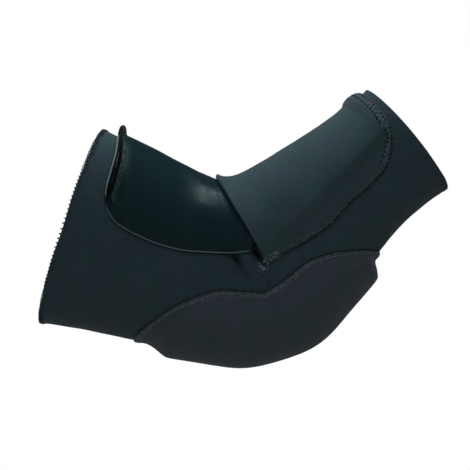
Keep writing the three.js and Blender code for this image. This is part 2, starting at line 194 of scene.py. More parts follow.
@dataclass(frozen=True)
class SleeveForm:
    """The outer surface that every piece lies on, in millimetres.

    A place is a pair: at, from -1 at the upper cuff to 1 at the forearm cuff, and around, in degrees
    from the crook of the elbow, positive on the side towards -Y.
    """

    upper_length: float = 114.6
    forearm_length: float = 144.2
    upper_tilt: float = 18.0
    forearm_tilt: float = 39.9
    bend_radius: float = 60.0
    upper_cuff: tuple[float, float] = (133.6, 104.0)
    elbow: tuple[float, float] = (114.0, 94.0)
    forearm_cuff: tuple[float, float] = (83.5, 76.0)
    roundness: float = 2.15
    tables: dict[str, Curve] = field(
        default_factory=lambda: {
            name: Curve([(row.at, getattr(row, name)) for row in SECTIONS])
            for name in ("lean", "front", "back", "width")
        }
    )

    @property
    def bend(self) -> float:
        """Degrees between the two limbs' axes."""
        return self.upper_tilt + self.forearm_tilt

    @property
    def tangent(self) -> float:
        """Length of each limb's axis that the elbow's arc replaces."""
        return self.bend_radius * math.tan(math.radians(self.bend / 2))

    @property
    def half_arc(self) -> float:
        """Half the length of the elbow's arc."""
        return self.bend_radius * math.radians(self.bend / 2)

    @property
    def upper_run(self) -> float:
        """Length of the centre line from the elbow to the upper cuff."""
        return self.upper_length - self.tangent + self.half_arc

    @property
    def forearm_run(self) -> float:
        """Length of the centre line from the elbow to the forearm cuff."""
        return self.forearm_length - self.tangent + self.half_arc

    def along(self, at: Array) -> Array:
        """Length along the centre line, from the elbow."""
        return np.where(at < 0, at * self.upper_run, at * self.forearm_run)

    def frontward(self, lean: Array) -> Array:
        """Unit direction (x, z) from a section's back to its front."""
        angle = math.radians(self.upper_tilt) - np.radians(self.bend) * lean
        return np.stack([np.sin(angle), np.cos(angle)], axis=-1)

    def centre_line(self, at: Array) -> Array:
        """Point (x, z) of the centre line.

        Args:
            at: Place along the arm, from -1 to 1.

        Returns:
            Points, as rows of two.
        """
        length = self.along(at)[..., None]
        upper, lower = math.radians(self.upper_tilt), math.radians(self.forearm_tilt)
        arm = np.array([-math.cos(upper), math.sin(upper)])
        forearm = np.array([math.cos(lower), math.sin(lower)])
        centre = arm * self.tangent + self.frontward(np.array(0.0)) * self.bend_radius
        share = (length[..., 0] + self.half_arc) / (2 * self.half_arc)
        arc = centre - self.frontward(share) * self.bend_radius
        before = arm * (self.tangent - length - self.half_arc)
        after = forearm * (self.tangent + length - self.half_arc)
        return np.where(length < -self.half_arc, before, np.where(length > self.half_arc, after, arc))

    def surface(self, at: Array, around: Array) -> Array:
        """Point of the sleeve before its folds.

        Args:
            at: Place along the arm, from -1 to 1.
            around: Place round the arm, in degrees.

        Returns:
            Point in space, in millimetres.
        """
        at, around = np.broadcast_arrays(np.asarray(at, float), np.asarray(around, float))
        share = np.abs(at)
        depth = mix(self.elbow[0], np.where(at < 0, self.upper_cuff[0], self.forearm_cuff[0]), share)
        width = mix(self.elbow[1], np.where(at < 0, self.upper_cuff[1], self.forearm_cuff[1]), share)
        front, back = self.tables["front"](at) * depth, self.tables["back"](at) * depth
        turn = np.radians(around)
        cosine = np.sign(np.cos(turn)) * np.abs(np.cos(turn)) ** (2 / self.roundness)
        sine = np.sign(np.sin(turn)) * np.abs(np.sin(turn)) ** (2 / self.roundness)
        reach = (front - back) / 2 + (front + back) / 2 * cosine
        spot = self.centre_line(at) + self.frontward(self.tables["lean"](at)) * reach[..., None]
        side = -self.tables["width"](at) * width / 2 * sine
        return np.stack([spot[..., 0], side, spot[..., 1]], axis=-1)

    def lifted(self, at: Array, around: Array, lift: Array | float) -> Array:
        """Point at a height over the surface."""
        return self.surface(at, around) + self.outward(at, around) * np.asarray(lift)[..., None]

    def outward(self, at: Array, around: Array) -> Array:
        """Unit normal of the surface."""
        at, around = np.broadcast_arrays(np.asarray(at, float), np.asarray(around, float))
        return normals(self.surface, at, around, 0.002, 0.2, swap=True)

    def fold_depth(self, at: Array, around: Array) -> Array:
        """How deep the folds are at a place.

        Args:
            at: Place along the arm, from -1 to 1.
            around: Place round the arm, in degrees.

        Returns:
            Depth in millimetres, negative on a ridge.
        """
        side = np.abs((np.asarray(around) + 180.0) % 360.0 - 180.0)
        total = np.zeros(np.broadcast(at, around).shape)
        for fold in FOLDS:
            shift = at - fold.at - fold.slant * (side - fold.around)
            total = total + fold.depth * self.elbow[0] * np.exp(
                -(shift / fold.along) ** 2 - ((side - fold.around) / fold.across) ** 2)
        return total

    def seat(self, at: Array, around: Array) -> Array:
        """How far ridges stand over the surface."""
        return np.maximum(0.0, -self.fold_depth(at, around))


def normals(place: Place, a: Array, b: Array, step_a: float, step_b: float, swap: bool = False) -> Array:
    """Unit normals of a surface given as a function of two numbers.

    Args:
        place: The surface.
        a: First number of each place.
        b: Second number of each place.
        step_a: Small step in the first.
        step_b: Small step in the second.
        swap: Whether the normal is second cross first.

    Returns:
        One normal for each place.
    """
    along_a = place(a + step_a, b) - place(a - step_a, b)
    along_b = place(a, b + step_b) - place(a, b - step_b)
    cross = np.cross(along_b, along_a) if swap else np.cross(along_a, along_b)
    return cross / np.maximum(np.linalg.norm(cross, axis=-1, keepdims=True), 1e-12)


FORM = SleeveForm()


def in_from_side(half: Array, u: Array) -> Array:
    """Distance in from a piece's side, in millimetres, where half is its half width in degrees."""
    return np.radians(half * (1 - np.abs(u))) * FORM.elbow[1] / 2


def turn_of(length: float) -> float:
    """Degrees round the arm that a length in millimetres takes up."""
    return math.degrees(length / (FORM.elbow[1] / 2))


class Rim(Enum):
    """What a shell's grid closes on."""

    PANEL = "panel"
    TUBE = "tube"


@dataclass
class Shell:
    """A closed shell between an outer and an inner grid of (u, t), each from -1 to 1."""

    name: str
    outer: Place
    inner: Place
    across: int
    along: int
    rim: Rim = Rim.PANEL
    span: tuple[float, float] = (100.0, 100.0)
    edge_round: float = 0.6
    from_edge: Place | None = None

    def _grid(self, bm: bmesh.types.BMesh, place: Place, inward: bool) -> None:
        """Add one grid and shape it.

        Args:
            bm: The mesh that it is added to.
            place: The face, as a function of (u, t).
            inward: Whether the face looks inwards.
        """
        made = bmesh.ops.create_grid(bm, x_segments=self.across, y_segments=self.along, size=1.0)
        verts = made["verts"]
        marks = [bm.verts.layers.float[name] for name in ("t", "inward", "edge_mm")]
        uv = bm.loops.layers.uv["weave"]
        spots = np.array([v.co[:2] for v in verts])
        faces = list({face for v in verts for face in v.link_faces})
        for face in faces:
            for loop in face.loops:
                loop[uv].uv = (loop.vert.co.x * self.span[0] * MM / 2, loop.vert.co.y * self.span[1] * MM / 2)
        distances = self.from_edge(*spots.T) if self.from_edge else np.full(len(spots), 99.0)
        for vert, (_, t), spot, distance in zip(verts, spots, place(*spots.T) * MM, distances):
            vert.co = spot
            for mark, value in zip(marks, (t, inward, distance)):
                vert[mark] = float(value)
        if self.rim is Rim.TUBE:
            bmesh.ops.remove_doubles(bm, verts=verts, dist=1e-6)
        if inward:
            bmesh.ops.reverse_faces(bm, faces=[face for face in faces if face.is_valid])

    def build(self) -> bpy.types.Object:
        """Make the shell's object, its edges rounded.

        Returns:
            The closed shell.
        """
        bm = bmesh.new()
        for name in ("t", "inward", "edge_mm"):
            bm.verts.layers.float.new(name)
        bm.loops.layers.uv.new("weave")
        self._grid(bm, self.outer, inward=False)
        self._grid(bm, self.inner, inward=True)
        layer = bm.verts.layers.float["t"]
        border = [edge for edge in bm.edges if edge.is_boundary]
        if self.rim is Rim.TUBE:
            for end in (-1.0, 1.0):
                loop = [edge for edge in border if all(abs(v[layer] - end) < 1e-6 for v in edge.verts)]
                bmesh.ops.bridge_loops(bm, edges=loop)
        else:
            bmesh.ops.bridge_loops(bm, edges=border)
        if bm.calc_volume(signed=True) < 0:
            bmesh.ops.reverse_faces(bm, faces=bm.faces[:])
        piece = as_object(bm, self.name)
        if self.edge_round > 0:
            round_edges(piece, self.edge_round)
        return piece


def round_edges(piece: bpy.types.Object, width: float) -> None:
    """Round a piece's sharp edges by a width in millimetres.

    Args:
        piece: The piece.
        width: Width of the rounding, in millimetres.
    """
    bevel = piece.modifiers.new("rounded edge", "BEVEL")
    bevel.width = width * MM
    bevel.segments = 2
    bevel.limit_method = "ANGLE"
    bevel.angle_limit = SHARP_EDGE


def as_object(bm: bmesh.types.BMesh, name: str) -> bpy.types.Object:
    """Turn a bmesh into a smooth-shaded object in the scene.

    Args:
        bm: The bmesh, which is freed.
        name: The object's name.

    Returns:
        The object.
    """
    mesh = bpy.data.meshes.new(name)
    for face in bm.faces:
        face.smooth = True
    bm.to_mesh(mesh)
    bm.free()
    piece = bpy.data.objects.new(name, mesh)
    bpy.context.scene.collection.objects.link(piece)
    return piece


@dataclass(frozen=True)
class Stuffing:
    """Foam that presses a sewn-down cover outwards, settled as cloth under pressure."""

    pressure: float = 4.0
    frames: int = 20
    point_mass: float = 0.00002
    stiffness: float = 6.0
    bending: float = 0.05
    most: float = 0.9

    def settle(self, piece: bpy.types.Object, sewn: Array) -> None:
        """Swell a piece and keep the shape that it takes.

        Args:
            piece: The piece, whose mesh isn't shared.
            sewn: Which of its points stay where they are.
        """
        group = piece.vertex_groups.new(name="sewn")
        group.add(np.flatnonzero(sewn).tolist(), 1.0, "REPLACE")
        cloth = piece.modifiers.new("stuffing", "CLOTH")
        cover = cloth.settings
        cover.use_pressure = True
        cover.uniform_pressure_force = self.pressure
        cover.vertex_group_mass = group.name
        cover.mass = self.point_mass
        cover.tension_stiffness = cover.compression_stiffness = cover.shear_stiffness = self.stiffness
        cover.bending_stiffness = self.bending
        cover.effector_weights.gravity = 0.0
        cloth.collision_settings.use_collision = False
        for frame_number in range(1, self.frames + 1):
            bpy.context.scene.frame_set(frame_number)
        before = self.points(piece.data)
        move = self.points(piece.evaluated_get(bpy.context.evaluated_depsgraph_get()).data) - before
        length = np.linalg.norm(move, axis=1, keepdims=True)
        LOG.info("%s: swells by up to %.2f mm", piece.name, length.max() / MM)
        move *= np.minimum(1.0, self.most * MM / np.maximum(length, 1e-9))
        piece.modifiers.remove(cloth)
        piece.data.vertices.foreach_set("co", (before + move).ravel())
        bpy.context.scene.frame_set(1)

    @staticmethod
    def points(mesh: bpy.types.Mesh) -> Array:
        """A mesh's points, as rows of three.

        Args:
            mesh: The mesh.

        Returns:
            One row for each point.
        """
        spots = np.empty(len(mesh.vertices) * 3)
        mesh.vertices.foreach_get("co", spots)
        return spots.reshape(-1, 3)


class Nodes:
    """A material's node tree, with short ways to add and join nodes."""

    def __init__(self, name: str) -> None:
        """Start a material with only its shader and output.

        Args:
            name: The material's name.
        """
        self.material = bpy.data.materials.new(name)
        self.material.use_nodes = True
        self.tree = self.material.node_tree
        self.shader = self.tree.nodes["Principled BSDF"]

    def add(self, kind: str, inputs: dict | None = None, **settings: object) -> bpy.types.Node:
        """Add a node of a kind, with its inputs and settings.

        Args:
            kind: The node's type, without its prefix.
            inputs: A socket to link or a value to set, by the input's name or number.
            settings: The node's own settings.

        Returns:
            The node.
        """
        node = self.tree.nodes.new("ShaderNode" + kind)
        for key, value in settings.items():
            setattr(node, key, value)
        for key, value in (inputs or {}).items():
            if isinstance(value, Socket):
                self.tree.links.new(value, node.inputs[key])
            else:
                node.inputs[key].default_value = value
        return node

    def shade(self, **values: object) -> None:
        """Set or link the shader's sockets; an underscore in a name stands for a space.

        Args:
            values: A socket to link or a value to set, by the input's name.
        """
        for key, value in values.items():
            socket = self.shader.inputs[key.replace("_", " ")]
            if isinstance(value, Socket):
                self.tree.links.new(value, socket)
            else:
                socket.default_value = value

    def noise(self, spot: Socket, scale: float, detail: float, roughness: float = 0.5) -> Socket:
        """Read cloudy noise at a place."""
        return self.add("TexNoise", {"Vector": spot, "Scale": scale, "Detail": detail,
                                     "Roughness": roughness}).outputs["Fac"]

    def ramp(self, value: Socket, low: float, high: float, bottom: float = 0.0, top: float = 1.0,
             kind: str = "LINEAR") -> Socket:
        """Turn one range of a value into another."""
        return self.add("MapRange", {"Value": value, "From Min": low, "From Max": high, "To Min": bottom,
                                     "To Max": top}, interpolation_type=kind).outputs["Result"]

    def times(self, first: Socket, second: Socket | float, plus: Socket | None = None) -> Socket:
        """Multiply two values, and add a third if there is one.

        Args:
            first: First value.
            second: Second value.
            plus: Value to add.

        Returns:
            The product, or the sum.
        """
        if plus is None:
            return self.add("Math", {0: first, 1: second}, operation="MULTIPLY").outputs[0]
        return self.add("Math", {0: first, 1: second, 2: plus}, operation="MULTIPLY_ADD").outputs[0]

    def window(self, value: Socket, edges: Edges) -> Socket:
        """Fade in between the first two edges and out between the last two.

        Args:
            value: The value.
            edges: Four edges, in order.

        Returns:
            1 inside and 0 outside.
        """
        rise = self.ramp(value, edges[0], edges[1], kind="SMOOTHSTEP")
        fall = self.ramp(value, edges[3], edges[2], kind="SMOOTHSTEP")
        return self.times(rise, fall)

    def blend(self, share: Socket | float, low: Socket | Tint, high: Socket | Tint,
              kind: str = "MIX") -> Socket:
        """Blend two colours.

        Args:
            share: How much of the second is taken.
            low: First colour, as a socket or as three numbers.
            high: Second colour, the same way.
            kind: How they are blended.

        Returns:
            The blended colour.
        """
        sides = [value if isinstance(value, Socket) else colour(*value) for value in (low, high)]
        both = self.add("Mix", {"Factor": share, 6: sides[0], 7: sides[1]}, data_type="RGBA", blend_type=kind)
        return both.outputs[2]

    def bump(self, height: Socket, strength: float, distance: float) -> Socket:
        """Tilt the surface by a height."""
        sides = {"Height": height, "Strength": strength, "Distance": distance}
        return self.add("Bump", sides).outputs["Normal"]


def colour(red: float, green: float, blue: float) -> tuple[float, float, float, float]:
    """A linear colour with full alpha."""
    return (red, green, blue, 1.0)


@dataclass(frozen=True)
class KnitFinish:
    """Knit-faced or napped fabric over foam."""

    name: str
    dark: Tint
    light: Tint
    pitch: float = 0.8
    relief: float = 0.25
    nap: float = 0.5
    sheen: float = 0.06
    greenish: Tint = (0.90, 1.05, 0.98)
    purplish: Tint = (1.08, 0.96, 1.04)
    sheen_tint: Tint = (0.62, 0.72, 0.76)
    cloud_scale: float = 38.0
    patch_scale: float = 62.0
    fibre_scale: float = 900.0
    fibre_share: float = 0.45
    contrast: tuple[float, float] = (0.36, 0.64)

    def build(self) -> bpy.types.Material:
        """Make the material: mottled colour, fine knit wales and nap.

        Returns:
            The material.
        """
        nodes = Nodes(self.name)
        places = nodes.add("TexCoord").outputs
        spot = places["Object"]
        fibre = nodes.noise(spot, self.fibre_scale, 3.0, 0.7)
        clouds = nodes.times(nodes.noise(spot, self.cloud_scale, 4.0, 0.6), 1.0 - self.fibre_share)
        mottle = nodes.times(nodes.ramp(fibre, *self.contrast), self.fibre_share, clouds)
        patches = nodes.ramp(nodes.noise(spot, self.patch_scale, 1.0), *self.contrast)
        cast = nodes.blend(patches, self.greenish, self.purplish)
        cloth = nodes.blend(1.0, nodes.blend(mottle, self.dark, self.light), cast, "MULTIPLY")
        wales = nodes.add("TexVoronoi", {"Vector": places["UV"], "Scale": 1.0 / (self.pitch * MM)})
        height = nodes.times(fibre, self.nap, wales.outputs["Distance"])
        nodes.shade(Base_Color=cloth, Normal=nodes.bump(height, self.relief, 0.0004), Roughness=0.92,
                    Specular_IOR_Level=0.12, Sheen_Weight=self.sheen, Sheen_Roughness=0.5,
                    Sheen_Tint=colour(*self.sheen_tint))
        return nodes.material


@dataclass(frozen=True)
class GlossFinish:
    """Vacuum-formed thermoplastic: glossy, scuffed and dull near the flared lip, with a pale painted
    highlight along its edge, painted shade on the lip's front and a painted glint in the fillet.

    The zones are windows on the distance from the edge, in millimetres, or on X or Z, in metres.
    """

    name: str = "stay_gloss"
    base: Tint = (0.0012, 0.0053, 0.0065)
    # Painted shade: a near-black tint on the flared lip's front, standing for the shadow in the concave lip.
    lip_painted_shade: Tint = (0.0006, 0.0020, 0.0022)
    # Painted highlight: a pale mottled tint in the fillet, standing for the light reflected there.
    fillet_painted_glint: Tint = (0.019, 0.031, 0.030)
    # Painted highlight: a pale tint along the cut edge, standing for the light caught there.
    rim: Tint = (0.076, 0.104, 0.110)
    rim_highlight_width: tuple[float, float] = (0.06, 0.50)
    roughness: tuple[float, float] = (0.22, 0.36)
    dull_change: float = 0.50
    lip_change: float = -0.16
    fillet_change: float = 0.40
    scuff_gain: float = 1.7
    dull_x: Edges = (-0.073, -0.066, -0.042, -0.021)
    flare_x: Edges = (-0.30, -0.20, -0.067, -0.060)
    flare_z: Edges = (0.046, 0.058, 0.20, 0.30)
    lip: Edges = (0.35, 0.70, 4.4, 5.2)
    fillet: Edges = (4.6, 5.6, 7.4, 9.4)
    # A short gap in the painted edge highlight.
    highlight_gap_x: Edges = (-0.30, -0.20, -0.082, -0.078)
    highlight_gap_z: Edges = (0.046, 0.049, 0.053, 0.056)
    scuff_scale: float = 150.0
    scuff_range: tuple[float, float] = (0.35, 0.75)
    # Size and spread of the painted glint's mottle.
    glint_mottle_scale: float = 900.0
    glint_mottle_range: tuple[float, float] = (0.46, 0.58)
    peel_scale: float = 260.0

    def build(self) -> bpy.types.Material:
        """Make the material.

        Returns:
            The material.
        """
        nodes = Nodes(self.name)
        spot = nodes.add("TexCoord").outputs["Object"]
        axes = nodes.add("SeparateXYZ", {0: spot}).outputs
        edge = nodes.add("Attribute", attribute_name="edge_mm").outputs["Fac"]
        scuff = nodes.noise(spot, self.scuff_scale, 5.0, 0.65)
        flared = nodes.times(nodes.window(axes["X"], self.flare_x), nodes.window(axes["Z"], self.flare_z))
        # The lip window carries the painted shade on the lip's front; the fillet window carries a painted
        # glint.
        lip = nodes.times(flared, nodes.window(edge, self.lip))
        fillet = nodes.times(flared, nodes.window(edge, self.fillet))
        # Mottled painted glint: a pale tint in the fillet, where the light is reflected.
        glint_mottle = nodes.ramp(nodes.noise(spot, self.glint_mottle_scale, 3.0), *self.glint_mottle_range)
        painted_glints = nodes.times(fillet, glint_mottle)
        # The painted edge highlight, and a short gap in it.
        rim = nodes.ramp(edge, *self.rim_highlight_width, 1.0, 0.0)
        highlight_gap = nodes.times(nodes.window(axes["X"], self.highlight_gap_x), nodes.window(axes["Z"], self.highlight_gap_z))

        rough = nodes.ramp(scuff, *self.scuff_range, *self.roughness)
        for zone, change in ((nodes.window(axes["X"], self.dull_x), self.dull_change),
                             (lip, self.lip_change), (fillet, self.fillet_change)):
            rough = nodes.times(zone, change, rough)
        tint = nodes.blend(scuff, self.base, tuple(v * self.scuff_gain for v in self.base))
        # Painted shade on the lip's front, a painted glint in the fillet, a painted highlight along the edge,
        # and a gap in that highlight.
        for zone, shade in ((lip, self.lip_painted_shade), (painted_glints, self.fillet_painted_glint), (rim, self.rim),
                            (nodes.times(highlight_gap, rim), self.base)):
            tint = nodes.blend(zone, tint, shade)
        peel = nodes.bump(nodes.noise(spot, self.peel_scale, 2.0), 0.2, 0.0003)
        nodes.shade(Base_Color=tint, Roughness=rough, Normal=peel, Specular_IOR_Level=0.26)
        return nodes.material


@dataclass(frozen=True)
class ThreadFinish:
    """Twisted polyester thread."""

    name: str
    base: Tint
    fuzz_scale: float = 1500.0

    def build(self) -> bpy.types.Material:
        """Make the material.

        Returns:
            The material.
        """
        nodes = Nodes(self.name)
        fuzz = nodes.noise(nodes.add("TexCoord").outputs["Object"], self.fuzz_scale, 2.0)
        dark, light = (tuple(v * share for v in self.base) for share in (0.6, 1.3))
        nodes.shade(Base_Color=nodes.blend(fuzz, dark, light), Normal=nodes.bump(fuzz, 0.4, 0.0002),
                    Roughness=0.85, Specular_IOR_Level=0.15)
        return nodes.material


def dress(piece: bpy.types.Object, material: bpy.types.Material) -> None:
    """Give a piece its material and slot, and let it ride on the brace.

    Args:
        piece: The piece.
        material: What it is made of.
    """
    piece.data.materials.clear()
    piece.data.materials.append(material)
    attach(piece, BODY)


@dataclass
class Path:
    """A line along which a seam runs: its points and the outward direction at each."""

    spots: Array
    out: Array

    @classmethod
    def on_sleeve(cls, at: Array, around: Array, lift: Array | float) -> "Path":
        """A line at a height over the sleeve."""
        return cls(FORM.lifted(at, around, lift + np.zeros(at.shape)), FORM.outward(at, around))

    @classmethod
    def on_face(cls, face: Place, u: Array, t: Array, lift: float) -> "Path":
        """A line at a height over the outer face of a shell.

        Args:
            face: The face, as a function of (u, t).
            u: Places across it, from -1 to 1.
            t: Places along it, from -1 to 1.
            lift: Height over the face, in millimetres.

        Returns:
            The line.
        """
        out = normals(face, u, t, SEAM_STEP, SEAM_STEP)
        return cls(face(u, t) + out * lift, out)

    def spaced(self, step: float) -> tuple[Array, Array, Array]:
        """Even points along the line, with the sideways and the outward direction at each.

        Args:
            step: Distance between points, in millimetres.

        Returns:
            Points, sideways directions and outward directions.
        """
        length = np.r_[0.0, np.cumsum(np.linalg.norm(np.diff(self.spots, axis=0), axis=1))]
        even = np.linspace(0.0, length[-1], max(4, int(round(length[-1] / step)) + 1))
        points, out = (np.stack([np.interp(even, length, column) for column in rows.T], axis=-1)
                       for rows in (self.spots, self.out))
        ahead = np.gradient(points, axis=0)
        side = np.cross(out, ahead)
        side /= np.linalg.norm(side, axis=1, keepdims=True)
        return points, side, out


@dataclass
class ThreadRun:
    """A run of thread, as polylines that become thin round tubes."""

    name: str
    radius: float = 0.26
    lines: list[Array] = field(default_factory=list)

    def zigzag(self, path: Path, width: float, period: float, arch: float = 0.35, sink: float = 0.25,
               ragged: float = 0.0) -> None:
        """Sew a zigzag along a path.

        Args:
            path: The line that it follows.
            width: Width from side to side, in millimetres.
            period: Length of one zig and zag.
            arch: How high a leg stands at its middle.
            sink: How deep its ends go into the cloth.
            ragged: How much its width varies from leg to leg, as a share.
        """
        points, side, out = path.spaced(period / 2)
        side = side * (1 - ragged * np.random.default_rng(len(points)).uniform(0, 1, (len(points), 1)))
        line = []
        steps = 4
        for i in range(len(points) - 1):
            start = points[i] + side[i] * (width / 2 if i % 2 else -width / 2)
            end = points[i + 1] + side[i + 1] * (-width / 2 if i % 2 else width / 2)
            for k in range(steps):
                share = k / steps
                height = arch * math.sin(math.pi * share) - sink * (1 - math.sin(math.pi * share)) ** 2
                line.append(mix(start, end, share) + out[i] * height)
        self.lines.append(np.array(line))

    def cord(self, path: Path, wander: float) -> None:
        """Lay one unbroken thread along a path.

        Args:
            path: The line that it follows.
            wander: How far it strays to either side, in millimetres.
        """
        points, side, _ = path.spaced(0.8)
        self.lines.append(points + side * (wander * waver(points, 3.5, 6.0))[:, None])

    def lint(self, path: Path, width: float, density: float, length: float, slack: float = 0.2) -> None:
        """Scatter short loose fibres over a band along a path.

        Args:
            path: The middle of the band.
            width: Width of the band, in millimetres.
            density: Fibres for each millimetre of the path.
            length: Length of the longest fibre.
            slack: How high a fibre's middle stands.
        """
        points, side, out = path.spaced(1.0)
        rng = np.random.default_rng(len(points))
        ahead = np.gradient(points, axis=0)
        for _ in range(int(len(points) * density)):
            spot = rng.uniform(0, len(points) - 1.001)
            i = int(spot)
            middle = mix(points[i], points[i + 1], spot - i) + side[i] * rng.uniform(-0.5, 0.5) * width
            turn = rng.uniform(0, math.tau)
            half = (side[i] * math.cos(turn) + ahead[i] * math.sin(turn)) * rng.uniform(0.4, 1.0) * length / 2
            low = out[i] * 0.15
            self.lines.append(np.array([middle - half - low, middle + out[i] * slack, middle + half - low]))

    def hole_shadows(self, path: Path, offset: float, pitch: float) -> None:
        """Stick a short stub into each needle hole in a row beside a path; dressed near black, the stubs
        paint the holes' shade.

        Args:
            path: The line that the row follows.
            offset: Distance from the line, to its left.
            pitch: Length from one hole to the next.
        """
        points, side, out = path.spaced(pitch)
        for point, across, up in zip(points, side, out):
            spot = point + across * offset
            self.lines.append(np.array([spot + up * 0.12, spot - up * 0.6]))

    def build(self) -> bpy.types.Object:
        """Make the run's object: round tubes along its lines, as one mesh.

        Returns:
            The thread.
        """
        data = bpy.data.curves.new(self.name, "CURVE")
        data.dimensions = "3D"
        data.bevel_depth = self.radius * MM
        data.bevel_resolution = 1
        data.use_fill_caps = True
        for line in self.lines:
            spline = data.splines.new("POLY")
            spline.points.add(len(line) - 1)
            spline.points.foreach_set("co", np.c_[line * MM, np.ones(len(line))].ravel())
        holder = bpy.data.objects.new(self.name, data)
        bpy.context.scene.collection.objects.link(holder)
        graph = bpy.context.evaluated_depsgraph_get()
        mesh = bpy.data.meshes.new_from_object(holder.evaluated_get(graph))
        bpy.data.objects.remove(holder)
        piece = bpy.data.objects.new(self.name, mesh)
        bpy.context.scene.collection.objects.link(piece)
        for polygon in mesh.polygons:
            polygon.use_smooth = True
        return piece


@dataclass
class Sleeves:
    """The two neoprene tubes, their cut edges and the seam between them."""

    wall: float = 3.0
    gap: float = 0.16
    upper_waver: float = 0.0035
    forearm_waver: float = 0.0045
    groove_depth: float = 0.55
    groove_width: float = 1.8
    ripple_heights: tuple[float, float] = (0.22, 0.08)
    ripple_lengths: tuple[float, float] = (38.0, 15.0)
    ripple_fade: float = 1 / 12
    seam: Curve = field(default_factory=lambda: Curve(
        [(0, 0.125), (60, 0.120), (84, 0.108), (92.5, 0.103), (96.5, 0.106), (100.5, 0.106), (104.2, 0.100),
         (114, 0.080), (180, 0.050)]))
    around_steps: int = 168
    along_steps: int = 130
    loops: int = 150
    loop_reach: float = 2.2
    loop_lean: float = 0.7

    @property
    def half_gap(self) -> float:
        """Half the gap between the two tubes, as a change of at."""
        return self.gap / 2 / FORM.forearm_run

    def seam_at(self, around: Array) -> Array:
        """Where the elbow seam runs."""
        return self.seam(np.abs(around))

    def sag(self, at: Array, around: Array) -> Array:
        """Depth of folds, ripples and seam grooves under the plain surface.

        Args:
            at: Place along the arm, from -1 to 1.
            around: Place round the arm, in degrees.

        Returns:
            Depth in millimetres.
        """
        spots = FORM.surface(at, around)
        ripple = sum(height * waver(spots, length, seed) for height, length, seed
                     in zip(self.ripple_heights, self.ripple_lengths, (1.0, 4.0)))
        near_seam = (at - self.seam_at(around)) * FORM.forearm_run
        groove = self.groove_depth * np.exp(-(near_seam / self.groove_width) ** 2)
        return FORM.fold_depth(at, around) + ripple * smooth((1 - np.abs(at)) / self.ripple_fade) + groove

    def upper_cuff(self, around: Array) -> Array:
        """Where the upper tube's cut edge runs."""
        return -1.0 + self.upper_waver * waver(ring(around, 55.0), 40.0, 2.0)

    def forearm_cuff(self, around: Array) -> Array:
        """Where the forearm tube's cut edge runs."""
        return 1.0 + self.forearm_waver * waver(ring(around, 40.0), 60.0, 7.0)

    def tube(self, name: str, start: Callable[[Array], Array], end: Callable[[Array], Array],
             span: tuple[float, float]) -> bpy.types.Object:
        """Make one tube between two edges.

        Args:
            name: The tube's name.
            start: Its first edge, as at for each around.
            end: Its last edge, the same way.
            span: Size of its weave's map, in millimetres.

        Returns:
            The tube.
        """
        def place(depth: float) -> Place:
            """Give the face at a depth under the cloth's own.

            Args:
                depth: Depth in millimetres.

            Returns:
                The face, as a function of (u, t).
            """
            def spot(u: Array, t: Array) -> Array:
                """Place on the face.

                Args:
                    u: Place across the piece, from -1 to 1.
                    t: Place along the piece, from -1 to 1.

                Returns:
                    Point in space, in millimetres.
                """
                around = u * 180.0
                at = mix(start(around), end(around), (t + 1) / 2)
                return FORM.lifted(at, around, -self.sag(at, around) - depth)
            return spot
        return Shell(name, place(0.0), place(self.wall), self.around_steps, self.along_steps, Rim.TUBE, span,
                     0.7).build()

    def upper(self) -> bpy.types.Object:
        """The tube round the upper arm."""
        return self.tube("upper_neoprene", self.upper_cuff,
                         lambda around: self.seam_at(around) - self.half_gap, (350.0, 130.0))

    def forearm(self) -> bpy.types.Object:
        """The tube round the forearm."""
        return self.tube("forearm_neoprene", lambda around: self.seam_at(around) + self.half_gap,
                         self.forearm_cuff, (270.0, 130.0))

    def elbow_stitches(self) -> bpy.types.Object:
        """Flat seam, where it shows between the pocket and the pad.

        Returns:
            The thread.
        """
        run = ThreadRun("elbow_seam_thread", 0.17)
        for side in (1, -1):
            around = np.linspace(91.0, 112.0, 24)
            at = self.seam_at(around)
            lift = -self.sag(at, around) + 0.45
            path = Path.on_sleeve(at, around * side, lift)
            run.zigzag(path, 2.4, 1.9, ragged=0.5)
            run.lint(path, 3.2, 2.0, 1.6)
        return run.build()

    def cuff_lint(self) -> bpy.types.Object:
        """Frayed fibres along the cut edge of the forearm cuff, at the back.

        Returns:
            The fibres.
        """
        run = ThreadRun("forearm_cuff_lint", 0.15)
        for side in (1, -1):
            around = np.linspace(100.0, 180.0, 40)
            at = np.full(around.shape, 0.986)
            run.lint(Path.on_sleeve(at, around * side, 0.1 - self.sag(at, around)), 3.4, 1.8, 1.2)
        return run.build()

    def overlock(self) -> bpy.types.Object:
        """Thread loops round the cut edge of the upper cuff.

        Each loop is six points: how far past the edge, as a change of at, its shift round the arm in
        degrees and its height over the cloth in millimetres.

        Returns:
            The thread.
        """
        run = ThreadRun("upper_cuff_overlock", 0.3)
        turns = np.arange(self.loops) / self.loops * 360.0 - 180.0
        reach, lean = self.loop_reach / FORM.upper_run, self.loop_lean
        for middle, wobble in zip(turns, waver(ring(turns, 55.0), 8.0, 3.0)):
            past_edge, shift, lift = np.array((
                (reach * (1 + 0.25 * wobble), lean, 0.25),
                (reach * 0.45, lean * 0.6, 0.42),
                (-0.0030, 0.0, 0.25),
                (-0.0060 - 0.002 * wobble, 0.0, -self.wall / 2),
                (-0.0030, 0.0, -self.wall - 0.2),
                (reach * 0.7, -lean, -self.wall - 0.3),
            )).T
            at, around = past_edge - 1.0, middle + shift
            run.lines.append(FORM.lifted(at, around, lift - self.sag(at, around)))
        return run.build()

